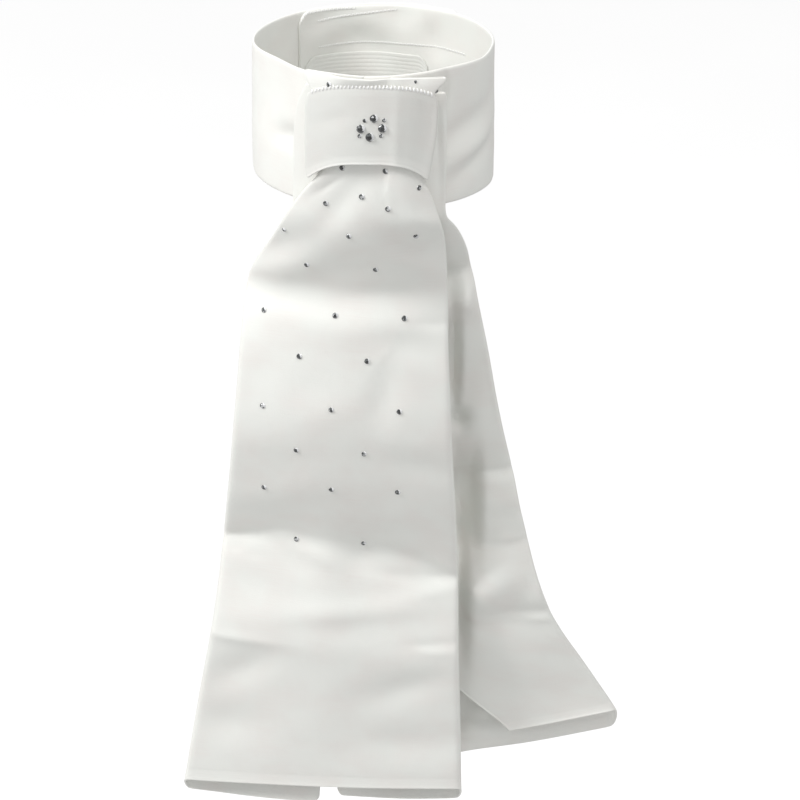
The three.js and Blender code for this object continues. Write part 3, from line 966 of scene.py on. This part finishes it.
def satin(name, look, dullness=0.0, shade=1.0):
    """Woven satin on a piece's flat UV map."""
    if name in bpy.data.materials:
        return bpy.data.materials[name]
    material, tree, shader = new_material(name)
    flat = add(tree, "ShaderNodeUVMap", uv_map="Cloth")
    scale = add(
        tree, "ShaderNodeVectorMath", [(0, flat.outputs["UV"])], {"Scale": 1 / MM}, operation="SCALE"
    )
    weave = add(tree, "ShaderNodeGroup", node_tree=satin_weave_group())
    tree.links.new(scale.outputs[0], weave.inputs["Flat"])
    # Painted shade and reflection: the two tints, scaled down by shade for the darker copies of the
    # satin
    light, dark = (
        (*(part * change * shade for part, change in zip(look.colour, tint)), 1)
        for tint in (GREEN_TINT, ROSE_TINT)
    )
    rough = look.roughness + dullness
    fill(weave, {"Thread": look.thread / MM, "Light": light, "Shade": dark, "Roughness": rough})
    tree.links.new(weave.outputs["Roughness"], shader.inputs["Roughness"])
    finish(tree, shader, weave.outputs["Colour"], weave.outputs["Height"], WEAVE_DEPTH, 0.6)
    fill(shader, {"Sheen Weight": 0.12, "Sheen Roughness": 0.35, "Specular IOR Level": 0.55})
    return material


def sewing_thread():
    """Glossy white thread with a fine twist."""
    if "Sewing thread" in bpy.data.materials:
        return bpy.data.materials["Sewing thread"]
    material, tree, shader = new_material("Sewing thread")
    twist = pattern(tree, "ShaderNodeTexWave", 1500, bands_direction="DIAGONAL")["Fac"]
    tone = tone_ramp(tree, twist, (0.90, 0.90, 0.89), (0.97, 0.97, 0.96))
    finish(tree, shader, tone.outputs["Color"], twist, 0.04)
    fill(shader, {"Roughness": 0.45})
    return material


def fastening_nylon():
    """Pile of the fastening tape between the band's ends."""
    material, tree, shader = new_material("Fastening nylon")
    pile = pattern(tree, "ShaderNodeTexVoronoi", 900)["Distance"]
    tone = tone_ramp(tree, pile, (0.66, 0.66, 0.64), (0.85, 0.85, 0.83))
    finish(tree, shader, tone.outputs["Color"], pile, 0.3)
    fill(shader, {"Roughness": 0.9})
    return material


def crystal_with_painted_glints():
    """Clear cut glass on a foil back, with painted reflections: each facet is coloured light or dark.
    """
    if "Foiled crystal" in bpy.data.materials:
        return bpy.data.materials["Foiled crystal"]
    material, tree, shader = new_material("Foiled crystal")
    facet = add(tree, "ShaderNodeAttribute", attribute_name="facet")
    # Painted reflections: the facet tones run from near black to bright glints
    tone = tone_ramp(tree, facet.outputs["Fac"], (0.012, 0.013, 0.014), (0.95, 0.96, 0.97))
    tone.color_ramp.elements.new(0.45).color = (0.10, 0.11, 0.11, 1)
    sparkle = pattern(tree, "ShaderNodeTexVoronoi", 1800)["Distance"]
    gloss = add(tree, "ShaderNodeMapRange", [("Value", sparkle)], {"To Min": 0.02, "To Max": 0.12})
    tree.links.new(gloss.outputs["Result"], shader.inputs["Roughness"])
    finish(tree, shader, tone.outputs["Color"])
    fill(shader, {"Coat Weight": 1.0, "Coat Roughness": 0.02})
    return material


def pale_floor():
    """Pale floor that the camera sees nearly white, with only a faint shadow."""
    material, tree, shader = new_material("Pale floor")
    grain = pattern(tree, "ShaderNodeTexNoise", 3)["Fac"]
    tone = tone_ramp(tree, grain, (0.57, 0.57, 0.57), (0.61, 0.61, 0.61))
    finish(tree, shader, tone.outputs["Color"])
    fill(shader, {"Roughness": 0.9, "Specular IOR Level": 0.1})
    seen = add(tree, "ShaderNodeLightPath")
    glow = add(tree, "ShaderNodeEmission", values={"Strength": 0.5})
    both = add(
        tree, "ShaderNodeAddShader", [(0, shader.outputs["BSDF"]), (1, glow.outputs["Emission"])]
    )
    pick = add(
        tree,
        "ShaderNodeMixShader",
        [(0, seen.outputs["Is Camera Ray"]), (1, shader.outputs["BSDF"]), (2, both.outputs["Shader"])],
    )
    tree.links.new(pick.outputs["Shader"], tree.nodes["Material Output"].inputs["Surface"])
    return material


class STOCKTIE_OT_stage(bpy.types.Operator):
    """Sets the camera, the lights, the world and the floor"""

    bl_idname = "stock_tie.stage"
    bl_label = "Set Stage"

    def execute(self, context):
        stage = context.scene.stock_tie.stage
        self.place_camera(context.scene, stage)
        self.light(context.scene, stage)
        self.lay_floor(stage)
        return {"FINISHED"}

    def place_camera(self, scene, stage):
        target = CAMERA_TARGET * MM
        away = Vector((0, -math.cos(stage.pitch), math.sin(stage.pitch))) * stage.distance
        data = bpy.data.cameras.new("Camera")
        data.sensor_width = 36
        data.lens = data.sensor_width * stage.distance / stage.width
        camera = new_object("Camera", data)
        camera.location = target + away
        camera.rotation_euler = (math.pi / 2 - stage.pitch, 0, 0)
        scene.camera = camera

    def light(self, scene, stage):
        scene.view_settings.view_transform = "Standard"
        scene.world = self.white_surround(stage)
        middle = LAMP_TARGET * MM
        lamps = (("Key", KEY_FROM, stage.key_power), ("Fill", FILL_FROM, stage.fill_power))
        for name, towards, power in lamps:
            data = bpy.data.lights.new(name, "AREA")
            data.size = stage.lamp_size
            data.energy = power
            lamp = new_object(name, data)
            lamp.location = middle + towards.normalized() * LAMP_DISTANCE
            lamp.rotation_euler = (middle - lamp.location).to_track_quat("-Z", "Y").to_euler()

    def white_surround(self, stage):
        """A soft surround, brighter from above, that the camera sees as white."""
        world = bpy.data.worlds.new("Studio")
        world.use_nodes = True
        tree = world.node_tree
        place = add(tree, "ShaderNodeTexCoord")
        height = add(tree, "ShaderNodeSeparateXYZ", [("Vector", place.outputs["Generated"])])
        shade = add(
            tree,
            "ShaderNodeMapRange",
            [("Value", height.outputs["Z"])],
            {"To Min": stage.surround * SURROUND_BELOW, "To Max": stage.surround * SURROUND_ABOVE},
        )
        seen = add(tree, "ShaderNodeLightPath")
        strength = add(
            tree,
            "ShaderNodeMix",
            [("Factor", seen.outputs["Is Camera Ray"]), ("A", shade.outputs["Result"])],
            {"B": 1.0},
        )
        tree.links.new(strength.outputs["Result"], tree.nodes["Background"].inputs["Strength"])
        tree.nodes["Background"].inputs["Color"].default_value = (1, 1, 1, 1)
        return world

    def lay_floor(self, stage):
        low = CAD_BOX[0][2]
        bm = bmesh.new()
        bmesh.ops.create_circle(bm, cap_ends=True, segments=64, radius=FLOOR_RADIUS)
        bmesh.ops.translate(bm, verts=bm.verts, vec=(0, 0, low - stage.floor_drop))
        floor = object_of(bm, "floor")
        floor.data.materials.append(pale_floor())


class STOCKTIE_OT_band(bpy.types.Operator):
    """Makes the neck band, its fastening, its inner patch and its stitching"""

    bl_idname = "stock_tie.band"
    bl_label = "Make Neck Band"

    def execute(self, context):
        settings = context.scene.stock_tie
        wall = settings.band.wall
        cloth_look = satin("Band satin", settings.satin, dullness=0.08)
        band = band_strip(columns=222, rows=26, wall=wall)
        # Painted shade: the lining inside the band is coloured darker than its outer satin
        lining = satin("Band lining", settings.satin, dullness=0.2, shade=LINING_PAINTED_SHADE)
        dress(band, lining, stands_for="collar")
        band.data.materials.append(cloth_look)
        band.modifiers["Wall"].material_offset = 1
        band.modifiers["Wall"].material_offset_rim = 1
        half = wall / MM / 2
        under = half + TAPE.wall / 2 + SEAM_GAP
        tape = piece_on_band("fastening_tape", TAPE, -under, columns=24, rows=10)
        dress(tape, fastening_nylon(), stands_for="closure_tape")
        over = half + PATCH.wall / 2 + PATCH_GAP
        patch = piece_on_band("patch", PATCH, over, columns=40, rows=84, bulge=QUILT_RISE)
        # Painted shade: the patch inside the band is coloured darker still
        patch_look = satin("Patch satin", settings.satin, shade=PATCH_PAINTED_SHADE)
        dress(patch, patch_look, stands_for="inner_patch")
        self.sew(settings, half)
        return {"FINISHED"}

    def sew(self, settings, half):
        pitch = settings.cloth.stitch_pitch / MM
        up = Vector((0, 0, 1))

        def inward(point):
            return Vector((-point.x, -point.y, 0)).normalized()

        for seam in BAND_SEAMS:
            length = round_neck(seam.start - seam.end)

            def edge(far, seam=seam, length=length):
                level = 1 - mix(seam.high, seam.low, far / length) / (BAND_TOP - BAND_BOTTOM)
                sweep = STRIP_START - seam.start + math.degrees(far / BAND_RADIUS)
                return band_point(sweep, level, half)

            runs = stitches(edge, length, up, inward, pitch, BAND_STITCH)
            dress(threads(seam.name, runs, BAND_STITCH.thread), sewing_thread())


class STOCKTIE_OT_front_tail(bpy.types.Operator):
    """Makes the front tail"""

    bl_idname = "stock_tie.front_tail"
    bl_label = "Make Front Tail"

    def execute(self, context):
        make_tail(context.scene.stock_tie, FRONT_STRIP, "front_tail")
        return {"FINISHED"}


class STOCKTIE_OT_rear_tail(bpy.types.Operator):
    """Makes the rear tail"""

    bl_idname = "stock_tie.rear_tail"
    bl_label = "Make Rear Tail"

    def execute(self, context):
        make_tail(context.scene.stock_tie, REAR_STRIP, "rear_tail")
        return {"FINISHED"}


def face_width(fold):
    """Width of the face at a fold row, round its bow."""
    ends = [math.asin(fold.curl * edge) / fold.curl for edge in (fold.left, fold.right)]
    return ends[1] - ends[0] - 2 * FOLD_PINCH * fold.depth


def make_tail(settings, strip, node):
    """One of the two tails, in the place of a node of the frame."""
    tail = folded_cloth(strip, settings.cloth.tail_wall)
    dress(tail, satin("Tail satin", settings.satin), stands_for=node)


class STOCKTIE_OT_knot(bpy.types.Operator):
    """Makes the knot and the stitching along its top"""

    bl_idname = "stock_tie.knot"
    bl_label = "Make Knot"

    def execute(self, context):
        settings = context.scene.stock_tie
        knot = folded_cloth(KNOT_STRIP, settings.cloth.knot_wall)
        # Painted shade: the knot's satin is coloured darker than the tails'
        knot_look = satin("Knot satin", settings.satin, shade=KNOT_PAINTED_SHADE)
        dress(knot, knot_look, stands_for="knot")
        self.sew(settings)
        return {"FINISHED"}

    def sew(self, settings):
        top = KNOT[0]
        half = settings.cloth.knot_wall / MM / 2
        face = face_width(top)

        def edge(far):
            point, _ = folded_point(KNOT_STRIP, top, FACE, far / face)
            return point + outward(point) * half * 0.6 - Vector((0, 0, KNOT_SEAM_DROP))

        def outward(point):
            return Vector((point.x * top.curl, -1, 0)).normalized()

        pitch = settings.cloth.stitch_pitch / MM
        runs = stitches(edge, face, Vector((0, 0, 1)), outward, pitch, KNOT_STITCH)
        dress(threads("knot_stitch", runs, KNOT_STITCH.thread), sewing_thread())


class STOCKTIE_OT_stones(bpy.types.Operator):
    """Cuts the stones and sets them on the knot and the front tail"""

    bl_idname = "stock_tie.stones"
    bl_label = "Set Stones"

    def execute(self, context):
        settings = context.scene.stock_tie.stones
        for prefix, carrier in (("ring_stone_", "knot_cloth"), ("tail_stone_", "front_tail_cloth")):
            cloth_below = bpy.data.objects.get(carrier)
            if cloth_below is None:
                raise RuntimeError(f"{carrier} has to be made before its stones")
            graph = context.evaluated_depsgraph_get()
            surface = BVHTree.FromObject(cloth_below, graph)
            nodes = sorted(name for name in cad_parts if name.startswith(prefix))
            for number, node in enumerate(nodes):
                self.set_stone(node, number, surface, settings)
        return {"FINISHED"}

    def set_stone(self, node, number, surface, settings):
        low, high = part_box(node)
        low, high = Vector(low), Vector(high)
        centre = (low + high) / 2
        radius = (high.x - low.x) / 2
        in_front = Vector((centre.x, CAD_BOX[0][1] - 0.1, centre.z))
        spot, normal, _, _ = surface.ray_cast(in_front, Vector((0, 1, 0)))
        if spot is None:
            # A stone just past the cloth's edge sits on the edge
            spot, normal, _, _ = surface.find_nearest(centre)
        bm = self.cut(radius, settings, number)
        turn = Vector((0, 0, 1)).rotation_difference(normal).to_matrix().to_4x4()
        bm.transform(Matrix.Translation(spot - normal * STONE_SINK * MM) @ turn)
        stone = object_of(bm, node + "_cut")
        dress(stone, crystal_with_painted_glints(), stands_for=node)

    def cut(self, radius, settings, number):
        """A flat-backed stone: table, crown facets, girdle and base."""
        bm = bmesh.new()
        sides = settings.facets
        levels = (
            (settings.table, TABLE_HEIGHT, 0, sides),
            (CROWN_SHARE, CROWN_HEIGHT, 0.5, sides),
            (1.0, GIRDLE_HEIGHT, 0, 2 * sides),
        )
        rings = []
        for share, height, shift, count in levels:
            made = bmesh.ops.create_circle(bm, segments=count, radius=radius * share)
            turn = Matrix.Rotation(math.pi * shift * 2 / count, 4, "Z")
            place = Matrix.Translation((0, 0, radius * height)) @ turn
            bmesh.ops.transform(bm, matrix=place, verts=made["verts"])
            rings.append({edge for vert in made["verts"] for edge in vert.link_edges})
        bmesh.ops.bridge_loops(bm, edges=list(rings[0] | rings[1]))
        bmesh.ops.bridge_loops(bm, edges=list(rings[1] | rings[2]))
        rim = [edge for edge in bm.edges if edge.is_boundary and edge in rings[2]]
        girdle = bmesh.ops.extrude_edge_only(bm, edges=rim)
        low = [item for item in girdle["geom"] if isinstance(item, bmesh.types.BMVert)]
        bmesh.ops.translate(bm, verts=low, vec=(0, 0, -radius * GIRDLE_HEIGHT))
        bmesh.ops.holes_fill(bm, edges=[edge for edge in bm.edges if edge.is_boundary])
        bmesh.ops.recalc_face_normals(bm, faces=bm.faces)
        # Painted reflections: each facet is given a tone, dark or a bright glint
        painted_glints = bm.faces.layers.float.new("facet")
        for index, face in enumerate(bm.faces):
            face[painted_glints] = painted_glint_tone(face.normal, index, number)
        return bm


def painted_glint_tone(normal, index, number):
    """Painted reflection: how light a facet is; most are dark, and those towards one side are glints.
    """
    draw = noise.cell(Vector((index * 1.37 + 0.5, number * 2.11 + 0.5, 0.5)))
    if normal.dot(BRIGHT_TOWARDS) > BRIGHT_FROM:
        return 0.8 + 0.2 * abs(draw)
    return abs(draw) ** 2 * 0.8


class VIEW3D_PT_stock_tie(bpy.types.Panel):
    """Sizes, colours and pieces of the stock tie"""

    bl_label = "Stock Tie"
    bl_space_type = "VIEW_3D"
    bl_region_type = "UI"
    bl_category = "Stock Tie"

    def draw(self, context):
        settings = context.scene.stock_tie
        for part in ("band", "cloth", "satin", "stones", "stage"):
            box = self.layout.box()
            group = getattr(settings, part)
            for key in group.bl_rna.properties.keys():
                if key not in ("rna_type", "name"):
                    box.prop(group, key)
        for operator in OPERATORS:
            self.layout.operator(operator.bl_idname)


GROUPS = (BandSizes, ClothSizes, SatinLook, StoneSizes, StageSettings, TieSettings)
OPERATORS = (
    STOCKTIE_OT_stage,
    STOCKTIE_OT_band,
    STOCKTIE_OT_rear_tail,
    STOCKTIE_OT_front_tail,
    STOCKTIE_OT_knot,
    STOCKTIE_OT_stones,
)
CLASSES = GROUPS + OPERATORS + (VIEW3D_PT_stock_tie,)


def register():
    for item in CLASSES:
        bpy.utils.register_class(item)
    bpy.types.Scene.stock_tie = PointerProperty(type=TieSettings)


def unregister():
    del bpy.types.Scene.stock_tie
    for item in reversed(CLASSES):
        bpy.utils.unregister_class(item)


def main():
    register()
    bpy.ops.stock_tie.stage()
    bpy.ops.stock_tie.band()
    bpy.ops.stock_tie.rear_tail()
    bpy.ops.stock_tie.front_tail()
    bpy.ops.stock_tie.knot()
    bpy.ops.stock_tie.stones()


if __name__ == "__main__":
    main()
